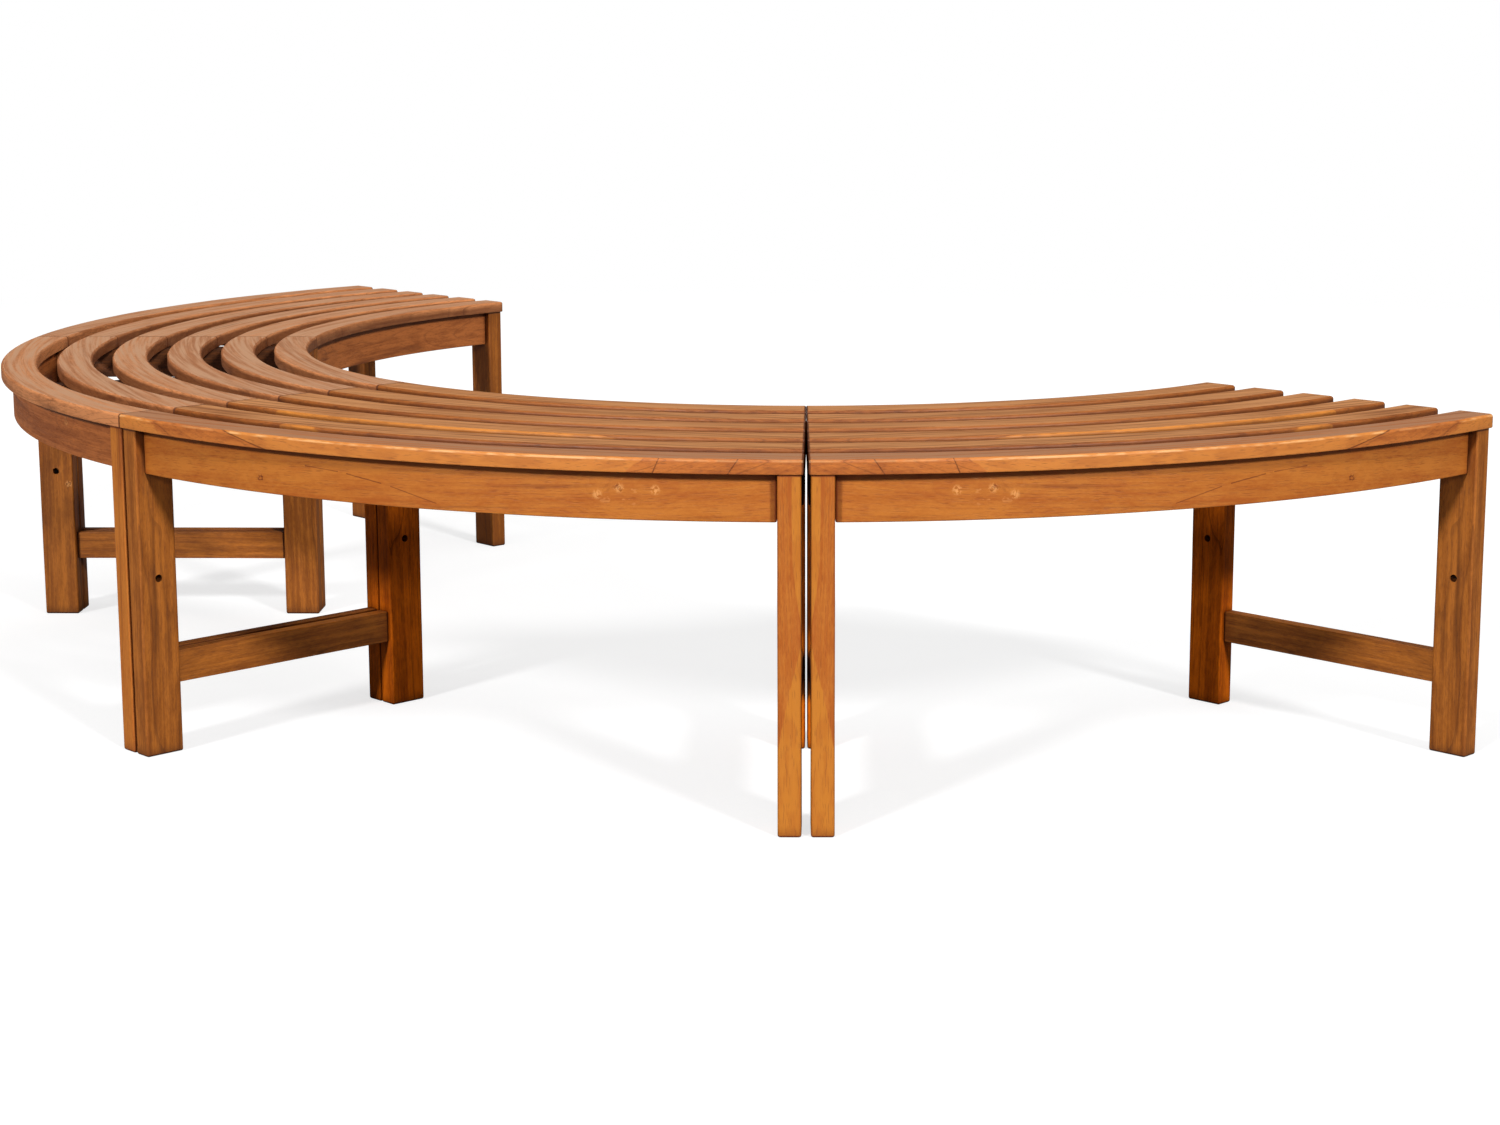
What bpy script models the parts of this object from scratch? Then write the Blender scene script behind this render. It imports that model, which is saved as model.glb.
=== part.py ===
"""Curved teak garden bench: four free-standing 45 degree sections in a half ring round a tree.

The ring's convex side faces -Y and its open side faces +Y. Each section is the same kit: six
concentric seat slats, an outer and an inner apron, and an end frame at each end. An end frame has
an outer leg, an inner leg that carries the end rail, and a low stretcher. A bearer runs from apron
to apron at mid span. Sections are numbered from the +X end. The first one stands a little turned
about its inner corner, which leaves a narrow V between it and the second.

Units are metres, +Z is up, and the origin is on the ground at the middle of the whole bench.
"""

import math

import bmesh
import bpy
from mathutils import Matrix, Vector

# Ring and seat
SECTION_COUNT = 4
SECTION_ANGLE = math.radians(45)
OPEN_SEAM_ANGLE = math.radians(0.8)
OUTER_RADIUS = 1.245
SEAT_DEPTH = 0.452
SEAT_HEIGHT = 0.450
SEAM_GAP = 0.0003  # between the slat ends of neighbouring sections
FIT_GAP = 0.0003  # between two pieces that touch
ARC_STEPS = 16  # facets along one section
ROUND_STEPS = 2  # facets across a rounded edge

# Slats
SLAT_COUNT = 6
SLAT_WIDTH = 0.051
SLAT_THICKNESS = 0.018
SLAT_TOP_ROUND = 0.004
SLAT_ARRIS = 0.0015

# Legs, with the wide faces towards the neighbouring section
LEG_WIDTH = 0.054
LEG_THICKNESS = 0.028
LEG_EDGE = 0.003
OUTER_LEG_SETBACK = 0.0024  # from the seam plane to the leg's wide face
INNER_LEG_SETBACK = 0.0010
OUTER_LEG_INSET = 0.003  # from the seat's outer edge to the leg
INNER_LEG_INSET = 0.004

# Bolt holes through the wide faces, for joining sections
BOLT_HOLE_DIAMETER = 0.010
BOLT_HOLE_HEIGHT = 0.235
HOLE_SIDES = 16
CUT_OVERRUN = 0.005

# Aprons
APRON_HEIGHT = 0.058
APRON_THICKNESS = 0.024
APRON_EDGE = 0.002
OUTER_APRON_INSET = 0.0155  # from the seat's outer edge to the apron's show face
INNER_APRON_INSET = 0.0150

# Stretchers, low between the legs of an end frame
STRETCHER_HEIGHT = 0.043
STRETCHER_THICKNESS = 0.018
STRETCHER_TOP = 0.1335
STRETCHER_SETBACK = 0.008  # from the outer leg's inward wide face
STRETCHER_EDGE = 0.0015

# End rails and the middle bearer, which carry the slats. An end rail's seam side is flush with the
# slat ends and laps across the inner leg, so it keeps the light out of the seam below the seat
RAIL_HEIGHT = 0.045
RAIL_THICKNESS = 0.020
RAIL_EDGE = 0.0015
BEARER_HEIGHT = 0.045
BEARER_WIDTH = 0.034
BEARER_EDGE = 0.0015

# Derived sizes
INNER_RADIUS = OUTER_RADIUS - SEAT_DEPTH
SLAT_PITCH = (SEAT_DEPTH - SLAT_WIDTH) / (SLAT_COUNT - 1)
SLAT_BOTTOM = SEAT_HEIGHT - SLAT_THICKNESS
FRAME_TOP = SLAT_BOTTOM - FIT_GAP
OUTER_LEG_RADIUS = OUTER_RADIUS - OUTER_LEG_INSET - LEG_WIDTH / 2
INNER_LEG_RADIUS = INNER_RADIUS + INNER_LEG_INSET + LEG_WIDTH / 2
OUTER_LEG_OFFSET = OUTER_LEG_SETBACK + LEG_THICKNESS / 2
INNER_LEG_OFFSET = INNER_LEG_SETBACK + LEG_THICKNESS / 2
RAIL_OFFSET = SEAM_GAP / 2 + RAIL_THICKNESS / 2
LEG_SPAN_START = INNER_LEG_RADIUS + LEG_WIDTH / 2
LEG_SPAN_END = OUTER_LEG_RADIUS - LEG_WIDTH / 2
OUTER_APRON_END_OFFSET = OUTER_LEG_SETBACK + LEG_THICKNESS + FIT_GAP
INNER_APRON_END_OFFSET = INNER_LEG_SETBACK + LEG_THICKNESS + FIT_GAP
OUTER_APRON_OUTSIDE = OUTER_RADIUS - OUTER_APRON_INSET
OUTER_APRON_INSIDE = OUTER_APRON_OUTSIDE - APRON_THICKNESS
INNER_APRON_INSIDE = INNER_RADIUS + INNER_APRON_INSET
INNER_APRON_OUTSIDE = INNER_APRON_INSIDE + APRON_THICKNESS
STRETCHER_OFFSET = OUTER_LEG_SETBACK + LEG_THICKNESS - STRETCHER_SETBACK - STRETCHER_THICKNESS / 2

LEFT, RIGHT = -1, 1
END_NAMES = {LEFT: "left", RIGHT: "right"}


def clear_scene():
    for obj in list(bpy.data.objects):
        bpy.data.objects.remove(obj, do_unlink=True)


def teak(name, colour, roughness):
    material = bpy.data.materials.new(name)
    material.use_nodes = True
    shader = material.node_tree.nodes["Principled BSDF"]
    shader.inputs["Base Color"].default_value = (*colour, 1.0)
    shader.inputs["Roughness"].default_value = roughness
    shader.inputs["Metallic"].default_value = 0.0
    return material


def shade(mesh):
    """Shade smooth, but keep every real corner sharp."""
    mesh.shade_smooth()
    mesh.set_sharp_from_angle(angle=math.radians(30))


def mesh_from(bm, name, material=None):
    bmesh.ops.recalc_face_normals(bm, faces=bm.faces)
    mesh = bpy.data.meshes.new(name)
    bm.to_mesh(mesh)
    bm.free()
    shade(mesh)
    if material:
        mesh.materials.append(material)
    return mesh


def ease(bm, edges, width, steps=1):
    """Take the corner off some edges: a chamfer with one step, a round with more."""
    bmesh.ops.bevel(bm, geom=edges, offset=width, segments=steps, profile=0.5, affect="EDGES",
                    clamp_overlap=True)


def corners_of(bm):
    return [edge for edge in bm.edges if edge.calc_face_angle(0.0) > math.radians(60)]


def board(size_x, size_y, bottom, top):
    """A straight board, centred on the Z axis."""
    bm = bmesh.new()
    bmesh.ops.create_cube(bm, size=1.0)
    bmesh.ops.scale(bm, vec=(size_x, size_y, top - bottom), verts=bm.verts)
    bmesh.ops.translate(bm, vec=(0, 0, (top + bottom) / 2), verts=bm.verts)
    return bm


def long_edges(bm, axis):
    """The edges that run along one axis: 0 is X, 1 is Y and 2 is Z."""
    def runs_along(edge):
        run = edge.verts[1].co - edge.verts[0].co
        return abs(run[axis]) > run.length / 2
    return [edge for edge in bm.edges if runs_along(edge)]


def section_half_angle(radius, end_offset):
    """Half the section's sweep at a radius, for an end that is cut parallel to the seam plane."""
    return SECTION_ANGLE / 2 - math.asin(end_offset / radius)


def curved_board(name, inside, outside, bottom, top, end_offset, material, arris, top_round=0):
    """A board of rectangular section, swept along the section's arc about the Z axis.

    Its middle lies towards -Y. Both ends are flat and lie end_offset in from the seam planes.
    A top_round rounds the upper corners all round, and the arris eases what is left.
    """
    bm = bmesh.new()
    corners = [(inside, bottom), (outside, bottom), (outside, top), (inside, top)]
    half_sweep = section_half_angle(outside, end_offset)
    start = Matrix.Rotation(-half_sweep, 3, "Z")
    ring = [bm.verts.new(start @ Vector((0, -radius, height))) for radius, height in corners]
    profile = bm.faces.new(ring)
    bmesh.ops.spin(bm, geom=[profile, *profile.edges, *profile.verts], angle=2 * half_sweep,
                   steps=ARC_STEPS, axis=(0, 0, 1), cent=(0, 0, 0))
    square_the_ends(bm, half_sweep, end_offset)
    if top_round:
        middle = (bottom + top) / 2
        ease(bm, [e for e in corners_of(bm) if min(v.co.z for v in e.verts) > middle], top_round,
             ROUND_STEPS)
    ease(bm, corners_of(bm), arris)
    return mesh_from(bm, name, material)


def square_the_ends(bm, half_sweep, end_offset):
    """Slide each vertex along its own circle until both end faces are flat planes."""
    for vert in bm.verts:
        radius = vert.co.xy.length
        angle = math.atan2(vert.co.x, -vert.co.y)
        angle *= section_half_angle(radius, end_offset) / half_sweep
        vert.co.x = radius * math.sin(angle)
        vert.co.y = -radius * math.cos(angle)


def leg_blank():
    """A leg with its top left square and its foot and long edges eased."""
    bm = board(LEG_THICKNESS, LEG_WIDTH, 0, FRAME_TOP)
    eased = [e for e in bm.edges if min(v.co.z for v in e.verts) < FRAME_TOP / 2]
    ease(bm, eased, LEG_EDGE)
    return bm


def helper_object(name, mesh):
    """An object that only shapes others, kept out of the finished model."""
    obj = bpy.data.objects.new(name, mesh)
    bpy.context.collection.objects.link(obj)
    obj.hide_render = True
    obj.display_type = "WIRE"
    return obj


def bolt_hole_cutter():
    bm = bmesh.new()
    bmesh.ops.create_cone(bm, cap_ends=True, segments=HOLE_SIDES, radius1=BOLT_HOLE_DIAMETER / 2,
                          radius2=BOLT_HOLE_DIAMETER / 2, depth=LEG_THICKNESS + 2 * CUT_OVERRUN)
    bmesh.ops.rotate(bm, matrix=Matrix.Rotation(math.pi / 2, 3, "Y"), verts=bm.verts)
    bmesh.ops.translate(bm, vec=(0, 0, BOLT_HOLE_HEIGHT), verts=bm.verts)
    return helper_object("bolt_hole_cutter", mesh_from(bm, "bolt_hole_cutter"))


def end_rail_body(side):
    """The end rail from across the inner leg to the outer leg, in the inner leg's frame."""
    start = LEG_WIDTH / 2 - LEG_EDGE
    end = INNER_LEG_RADIUS - LEG_SPAN_END + FIT_GAP
    bm = board(RAIL_THICKNESS, start - end, FRAME_TOP - RAIL_HEIGHT, FRAME_TOP)
    ease(bm, long_edges(bm, 1), RAIL_EDGE)
    place = (side * (INNER_LEG_OFFSET - RAIL_OFFSET), (start + end) / 2, 0)
    bmesh.ops.translate(bm, vec=place, verts=bm.verts)
    return helper_object("end_rail_body", mesh_from(bm, "end_rail_body"))


def combined_mesh(name, blank, steps, material):
    """Apply a list of (operation, object) Booleans to a blank and keep the result as one mesh."""
    obj = helper_object(name, mesh_from(blank, name, material))
    for operation, operand in steps:
        boolean = obj.modifiers.new(operation.lower(), "BOOLEAN")
        boolean.operation = operation
        boolean.object = operand
    bpy.context.view_layer.update()
    evaluated = obj.evaluated_get(bpy.context.evaluated_depsgraph_get())
    mesh = bpy.data.meshes.new_from_object(evaluated)
    mesh.name = name
    shade(mesh)
    bpy.data.objects.remove(obj, do_unlink=True)
    return mesh


def slat_meshes():
    material = teak("slat_teak", (0.55, 0.27, 0.13), 0.5)
    meshes = []
    for index in range(SLAT_COUNT):
        outside = OUTER_RADIUS - index * SLAT_PITCH
        meshes.append(curved_board(f"slat_{index + 1}", outside - SLAT_WIDTH, outside, SLAT_BOTTOM,
                                   SEAT_HEIGHT, SEAM_GAP / 2, material, SLAT_ARRIS, SLAT_TOP_ROUND))
    return meshes


def apron_mesh(name, inside, outside, end_offset, material):
    return curved_board(name, inside, outside, FRAME_TOP - APRON_HEIGHT, FRAME_TOP, end_offset,
                        material, APRON_EDGE)


def leg_meshes():
    """The outer leg, the same at both ends, and an inner leg with its rail for each end."""
    material = teak("leg_teak", (0.50, 0.20, 0.06), 0.5)
    cutter = bolt_hole_cutter()
    outer = combined_mesh("outer_leg", leg_blank(), [("DIFFERENCE", cutter)], material)
    inner = {}
    for side, end_name in END_NAMES.items():
        rail = end_rail_body(side)
        steps = [("UNION", rail), ("DIFFERENCE", cutter)]
        inner[side] = combined_mesh(f"{end_name}_inner_leg_with_rail", leg_blank(), steps, material)
        bpy.data.objects.remove(rail, do_unlink=True)
    bpy.data.objects.remove(cutter, do_unlink=True)
    return outer, inner


def stretcher_mesh():
    length = LEG_SPAN_END - LEG_SPAN_START - 2 * FIT_GAP
    bm = board(STRETCHER_THICKNESS, length, STRETCHER_TOP - STRETCHER_HEIGHT, STRETCHER_TOP)
    ease(bm, long_edges(bm, 1), STRETCHER_EDGE)
    return mesh_from(bm, "stretcher", teak("stretcher_teak", (0.42, 0.16, 0.05), 0.55))


def bearer_mesh():
    """The middle bearer, with its ends clear of the curved faces of both aprons."""
    nearest_outer_face = math.sqrt(OUTER_APRON_INSIDE**2 - (BEARER_WIDTH / 2)**2)
    facet_sag = OUTER_APRON_INSIDE * (1 - math.cos(SECTION_ANGLE / ARC_STEPS / 2))
    start = INNER_APRON_OUTSIDE + FIT_GAP
    end = nearest_outer_face - facet_sag - FIT_GAP
    bm = board(BEARER_WIDTH, end - start, FRAME_TOP - BEARER_HEIGHT, FRAME_TOP)
    ease(bm, long_edges(bm, 1), BEARER_EDGE)
    bmesh.ops.translate(bm, vec=(0, -(start + end) / 2, 0), verts=bm.verts)
    return mesh_from(bm, "middle_bearer", teak("bearer_teak", (0.40, 0.16, 0.05), 0.6))


def section_kit():
    """The meshes of one section: pieces of the whole arc, and pieces of an end frame."""
    apron_teak = teak("apron_teak", (0.48, 0.18, 0.05), 0.5)
    arc_pieces = {mesh.name: mesh for mesh in slat_meshes()}
    arc_pieces["outer_apron"] = apron_mesh("outer_apron", OUTER_APRON_INSIDE, OUTER_APRON_OUTSIDE,
                                           OUTER_APRON_END_OFFSET, apron_teak)
    arc_pieces["inner_apron"] = apron_mesh("inner_apron", INNER_APRON_INSIDE, INNER_APRON_OUTSIDE,
                                           INNER_APRON_END_OFFSET, apron_teak)
    arc_pieces["middle_bearer"] = bearer_mesh()
    outer_leg, inner_legs = leg_meshes()
    stretcher = stretcher_mesh()
    stretcher_radius = (LEG_SPAN_START + LEG_SPAN_END) / 2
    end_pieces = {side: {
        "outer_leg": (outer_leg, OUTER_LEG_RADIUS, OUTER_LEG_OFFSET),
        "inner_leg": (inner_legs[side], INNER_LEG_RADIUS, INNER_LEG_OFFSET),
        "stretcher": (stretcher, stretcher_radius, STRETCHER_OFFSET),
    } for side in END_NAMES}
    return arc_pieces, end_pieces


def add_piece(name, mesh, parent, location=(0, 0, 0), turn=0.0):
    obj = bpy.data.objects.new(name, mesh)
    bpy.context.collection.objects.link(obj)
    obj.parent = parent
    obj.location = location
    obj.rotation_euler.z = turn
    return obj


def add_end_frame(prefix, side, end_pieces, parent):
    turn = side * SECTION_ANGLE / 2
    for name, (mesh, radius, offset) in end_pieces.items():
        place = Matrix.Rotation(turn, 3, "Z") @ Vector((-side * offset, -radius, 0))
        add_piece(f"{prefix}_{END_NAMES[side]}_{name}", mesh, parent, place, turn)


def section_placement(index):
    """Location and turn of a section about the ring's centre, with the first seam left open."""
    turn = ((SECTION_COUNT - 1) / 2 - index) * SECTION_ANGLE
    if index > 0:
        return Vector((0, 0, 0)), turn
    seam = turn - SECTION_ANGLE / 2
    corner = Matrix.Rotation(seam, 3, "Z") @ Vector((0, -INNER_RADIUS, 0))
    location = corner - Matrix.Rotation(OPEN_SEAM_ANGLE, 3, "Z") @ corner
    return location, turn + OPEN_SEAM_ANGLE


def add_section(index, kit, ring):
    arc_pieces, end_pieces = kit
    prefix = f"section_{index + 1}"
    location, turn = section_placement(index)
    section = add_piece(prefix, None, ring, location, turn)
    for name, mesh in arc_pieces.items():
        add_piece(f"{prefix}_{name}", mesh, section)
    for side in (LEFT, RIGHT):
        add_end_frame(prefix, side, end_pieces[side], section)


def centre_on_ground(ring):
    """Move the ring so that the origin is under the middle of the bench's outline."""
    bpy.context.view_layer.update()
    corners = [obj.matrix_world @ v.co for obj in bpy.data.objects if obj.type == "MESH"
               for v in obj.data.vertices]
    for axis in (0, 1):
        values = [corner[axis] for corner in corners]
        ring.location[axis] = -(min(values) + max(values)) / 2
    bpy.context.view_layer.update()
    print("ring centre", [round(value, 5) for value in ring.location])


def build():
    clear_scene()
    kit = section_kit()
    ring = add_piece("ring", None, None)
    for index in range(SECTION_COUNT):
        add_section(index, kit, ring)
    centre_on_ground(ring)


build()
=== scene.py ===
# %% [markdown]
# A curved teak garden bench: four free-standing sections that stand in a half ring round a tree.
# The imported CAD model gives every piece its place. This lesson dresses it: each node is replaced
# by a finer board with rounded edges, and each board is then "cut" from a teak log of its own, so
# that the grain runs along it, bends over its edges and shows its rings on the ends.

import math
import random

import bmesh
import bpy
import numpy as np
from mathutils import Matrix, Vector, noise


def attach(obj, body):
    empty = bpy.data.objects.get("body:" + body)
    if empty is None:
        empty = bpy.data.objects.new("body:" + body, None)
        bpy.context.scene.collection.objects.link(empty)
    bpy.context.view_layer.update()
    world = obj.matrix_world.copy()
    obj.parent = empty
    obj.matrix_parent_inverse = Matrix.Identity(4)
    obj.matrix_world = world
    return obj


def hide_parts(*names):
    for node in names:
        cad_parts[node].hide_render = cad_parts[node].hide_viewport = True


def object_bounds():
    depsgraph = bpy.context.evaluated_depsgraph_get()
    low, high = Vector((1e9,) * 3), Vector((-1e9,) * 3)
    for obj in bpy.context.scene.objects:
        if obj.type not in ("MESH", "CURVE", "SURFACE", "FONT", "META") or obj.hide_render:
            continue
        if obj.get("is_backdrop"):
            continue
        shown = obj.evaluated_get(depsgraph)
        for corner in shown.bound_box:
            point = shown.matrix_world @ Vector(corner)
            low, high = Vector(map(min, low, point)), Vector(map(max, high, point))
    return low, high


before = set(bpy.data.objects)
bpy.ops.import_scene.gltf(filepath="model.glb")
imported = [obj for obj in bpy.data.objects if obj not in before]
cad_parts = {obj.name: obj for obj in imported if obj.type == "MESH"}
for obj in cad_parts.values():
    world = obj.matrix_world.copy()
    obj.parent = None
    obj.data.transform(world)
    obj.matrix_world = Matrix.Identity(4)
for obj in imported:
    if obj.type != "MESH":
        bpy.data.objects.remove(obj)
cad_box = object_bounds()
print("CAD nodes:", len(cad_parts))

# %% [markdown]
# The camera stands low in front of the open seam and looks slightly down, so the seat tops are
# seen at a grazing angle. It looks exactly along the seam, because the photograph's two sides
# mirror each other there. The numbers come from matching the seat's edges and the feet in the
# photograph, and the small shifts stand for the parts of the frame that were cropped away.

# %% Camera
CAMERA_PLACE = (3.0167, -2.3610, 0.9302)
CAMERA_DIP = math.radians(9.698)
CAMERA_HEADING = math.radians(45.4)
SENSOR_WIDTH, LENS = 36, 63.591
SHIFT_ACROSS, SHIFT_UP = -0.0374, -0.05065

camera_data = bpy.data.cameras.new("bench_camera")
camera_data.sensor_width = SENSOR_WIDTH
camera_data.lens = LENS
camera_data.shift_x = SHIFT_ACROSS
camera_data.shift_y = SHIFT_UP
camera = bpy.data.objects.new("bench_camera", camera_data)
camera.location = CAMERA_PLACE
camera.rotation_euler = (math.radians(90) - CAMERA_DIP, 0, CAMERA_HEADING)
bpy.context.scene.collection.objects.link(camera)
bpy.context.scene.camera = camera
bpy.context.scene.view_settings.view_transform = "Standard"
print("camera height", CAMERA_PLACE[2])

# %% [markdown]
# Shader trees are easier to read when adding a node takes one line. These helpers do that: an
# input may be a number, a colour, or the output of another node.

# %% Helpers for shader nodes
def add_node(tree, kind, inputs=(), **settings):
    node = tree.nodes.new(kind)
    for name, value in settings.items():
        setattr(node, name, value)
    for key, value in dict(inputs).items():
        if isinstance(value, bpy.types.NodeSocket):
            tree.links.new(value, node.inputs[key])
        else:
            node.inputs[key].default_value = value
    return node


def calc(tree, operation, first, second=0.0):
    return add_node(tree, "ShaderNodeMath", {0: first, 1: second}, operation=operation).outputs[0]


def vector_calc(tree, operation, first, second):
    return add_node(tree, "ShaderNodeVectorMath", {0: first, 1: second}, operation=operation).outputs[0]


def grade(tree, value, low, high, to_low=0.0, to_high=1.0):
    """Carry a value smoothly from one range to another, and hold it at the ends."""
    node = add_node(tree, "ShaderNodeMapRange", {"Value": value, 1: low, 2: high, 3: to_low, 4: to_high},
                    interpolation_type="SMOOTHSTEP")
    return node.outputs[0]


def blend_colour(tree, factor, first, second):
    node = add_node(tree, "ShaderNodeMix", {"Factor": factor, 6: first, 7: second}, data_type="RGBA",
                    clamp_factor=True)
    return node.outputs[2]


def noise_at(tree, place, stretch, detail=2.0, roughness=0.5):
    """Noise whose grains measure about 1/stretch metres along each axis."""
    scaled = vector_calc(tree, "MULTIPLY", place, stretch)
    return add_node(tree, "ShaderNodeTexNoise", {"Vector": scaled, "Scale": 1.0, "Detail": detail,
                                                 "Roughness": roughness})


print("a node takes one line now")

# %% [markdown]
# Light. Two lamps, one to each side of the camera, throw the soft shadow of the first slat on the
# apron and leave the inner legs and the open seam dark. A wide one overhead brings out the rounded
# edges of the slats, and an even sky fills the rest. The camera sees the sky as plain white, but
# it lights the wood, and shines in it, at a lower level, so a colour renders about as it is
# written. Area lamps would do as well, but a sun lights the near and the far end alike.

# %% Sky and lamps
SKY_LEVEL = 0.12
WHITE = (1.0, 1.0, 1.0, 1.0)
LAMPS = {  # level, then its spread, height above the floor and turn from the camera, in degrees
    "left_lamp": (2.05, 7, 28.5, -36),
    "right_lamp": (2.05, 7, 28.5, 36),
    "overhead_lamp": (0.75, 50, 85, 0),
}


def seen_by_camera(tree):
    """1 for a ray from the camera, straight or through glass."""
    path = add_node(tree, "ShaderNodeLightPath")
    return calc(tree, "MAXIMUM", path.outputs["Is Camera Ray"], path.outputs["Is Transmission Ray"])


world = bpy.data.worlds.new("studio")
world.use_nodes = True
sky = world.node_tree
sky.nodes.clear()
lighting = add_node(sky, "ShaderNodeBackground", {"Color": WHITE, "Strength": SKY_LEVEL})
backdrop = add_node(sky, "ShaderNodeBackground", {"Color": WHITE, "Strength": 1.0})
either = add_node(sky, "ShaderNodeMixShader", {0: seen_by_camera(sky), 1: lighting.outputs[0],
                                               2: backdrop.outputs[0]})
add_node(sky, "ShaderNodeOutputWorld", {"Surface": either.outputs[0]})
bpy.context.scene.world = world

for name, (level, spread, height, turn) in LAMPS.items():
    lamp_data = bpy.data.lights.new(name, "SUN")
    lamp_data.energy = level
    lamp_data.angle = math.radians(spread)
    lamp = bpy.data.objects.new(name, lamp_data)
    lamp.rotation_euler = (math.radians(90 - height), 0, CAMERA_HEADING + math.radians(turn))
    bpy.context.scene.collection.objects.link(lamp)
print("lamps:", ", ".join(LAMPS), "and a sky at", SKY_LEVEL)

# %% [markdown]
# The floor is a plain pale sheet of paper. It has to look white, keep the bench's soft shadow, and
# yet not throw so much light back that the legs under the seat go pale. So the part of the floor
# that the camera sees is mostly its own white with a little real shading, and the part that lights
# the bench is a mid grey. Far out it fades to plain white and meets the sky without a line.

# %% Floor
FLOOR_SIZE, FLOOR_SQUARES = 60.0, 24
FLOOR_GLOW = 0.72
FLOOR_SHADED = (0.42, 0.42, 0.42, 1.0)
FLOOR_BOUNCE = (0.18, 0.18, 0.18, 1.0)
FADE_START, FADE_END = 3.0, 6.0

bm = bmesh.new()
bmesh.ops.create_grid(bm, x_segments=FLOOR_SQUARES, y_segments=FLOOR_SQUARES, size=FLOOR_SIZE / 2)
floor_mesh = bpy.data.meshes.new("floor")
bm.to_mesh(floor_mesh)
bm.free()
floor = bpy.data.objects.new("floor", floor_mesh)
bpy.context.scene.collection.objects.link(floor)
floor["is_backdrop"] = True

paper = bpy.data.materials.new("pale_floor")
paper.use_nodes = True
tree = paper.node_tree
tree.nodes.clear()
glow = add_node(tree, "ShaderNodeEmission", {"Color": WHITE, "Strength": FLOOR_GLOW})
shaded = add_node(tree, "ShaderNodeBsdfDiffuse", {"Color": FLOOR_SHADED})
near = add_node(tree, "ShaderNodeAddShader", {0: glow.outputs[0], 1: shaded.outputs[0]})
white = add_node(tree, "ShaderNodeEmission", {"Color": WHITE, "Strength": 1.0})
place = add_node(tree, "ShaderNodeNewGeometry").outputs["Position"]
distance = add_node(tree, "ShaderNodeVectorMath", {0: place}, operation="LENGTH").outputs["Value"]
seen = add_node(tree, "ShaderNodeMixShader", {0: grade(tree, distance, FADE_START, FADE_END),
                                              1: near.outputs[0], 2: white.outputs[0]})
bounce = add_node(tree, "ShaderNodeBsdfDiffuse", {"Color": FLOOR_BOUNCE})
either = add_node(tree, "ShaderNodeMixShader", {0: seen_by_camera(tree), 1: bounce.outputs[0],
                                                2: seen.outputs[0]})
add_node(tree, "ShaderNodeOutputMaterial", {"Surface": either.outputs[0]})
floor.data.materials.append(paper)
print("floor", FLOOR_SIZE, "m wide")

# %% [markdown]
# Sizes. These are the bench's own measures, the same as in the CAD source, in metres. A section is
# an eighth of a full circle: its slats and aprons are sawn to arcs about the ring's axis, and its
# end frames stand square to them, 22.5 degrees to each side of its middle.

# %% Sizes of the bench
SECTION_COUNT = 4
SECTION_ANGLE = math.radians(45)
OPEN_SEAM_ANGLE = math.radians(0.8)
RING_CENTRE = Vector((0.00394, 0.61782, 0))
OUTER_RADIUS = 1.245
INNER_RADIUS = 0.793
SEAT_HEIGHT = 0.450
SEAM_OVERLAP = 0.00015  # the end grain swells, and two sections press against each other
FIT_GAP = 0.0003

SLAT_COUNT = 6
SLAT_WIDTH = 0.051
SLAT_THICKNESS = 0.018
SLAT_PITCH = (OUTER_RADIUS - INNER_RADIUS - SLAT_WIDTH) / (SLAT_COUNT - 1)
SLAT_BOTTOM = SEAT_HEIGHT - SLAT_THICKNESS
FRAME_TOP = SLAT_BOTTOM - FIT_GAP

LEG_WIDTH = 0.054
LEG_THICKNESS = 0.028
OUTER_LEG_SETBACK, INNER_LEG_SETBACK = 0.0024, 0.0010
OUTER_LEG_RADIUS, INNER_LEG_RADIUS = 1.215, 0.824
OUTER_LEG_OFFSET = OUTER_LEG_SETBACK + LEG_THICKNESS / 2
INNER_LEG_OFFSET = INNER_LEG_SETBACK + LEG_THICKNESS / 2
BOLT_HOLE_DIAMETER = 0.010
BOLT_HOLE_HEIGHT = 0.235

APRON_HEIGHT = 0.058
OUTER_APRON, INNER_APRON = (1.2055, 1.2295), (0.808, 0.832)
OUTER_APRON_END = OUTER_LEG_SETBACK + LEG_THICKNESS + FIT_GAP
INNER_APRON_END = INNER_LEG_SETBACK + LEG_THICKNESS + FIT_GAP

STRETCHER_HEIGHT, STRETCHER_THICKNESS, STRETCHER_TOP = 0.043, 0.018, 0.1335
STRETCHER_SETBACK = 0.008
STRETCHER_OFFSET = OUTER_LEG_SETBACK + LEG_THICKNESS - STRETCHER_SETBACK - STRETCHER_THICKNESS / 2
RAIL_HEIGHT, RAIL_THICKNESS = 0.045, 0.020
RAIL_OFFSET = RAIL_THICKNESS / 2 - SEAM_OVERLAP
BEARER_HEIGHT, BEARER_WIDTH = 0.045, 0.034
LEG_EDGE = 0.003
LEG_SPAN = (INNER_LEG_RADIUS + LEG_WIDTH / 2, OUTER_LEG_RADIUS - LEG_WIDTH / 2)
RAIL_SPAN = (INNER_LEG_RADIUS - LEG_WIDTH / 2 + LEG_EDGE, LEG_SPAN[1])
BEARER_SPAN = (INNER_APRON[1], OUTER_APRON[0])


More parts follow.
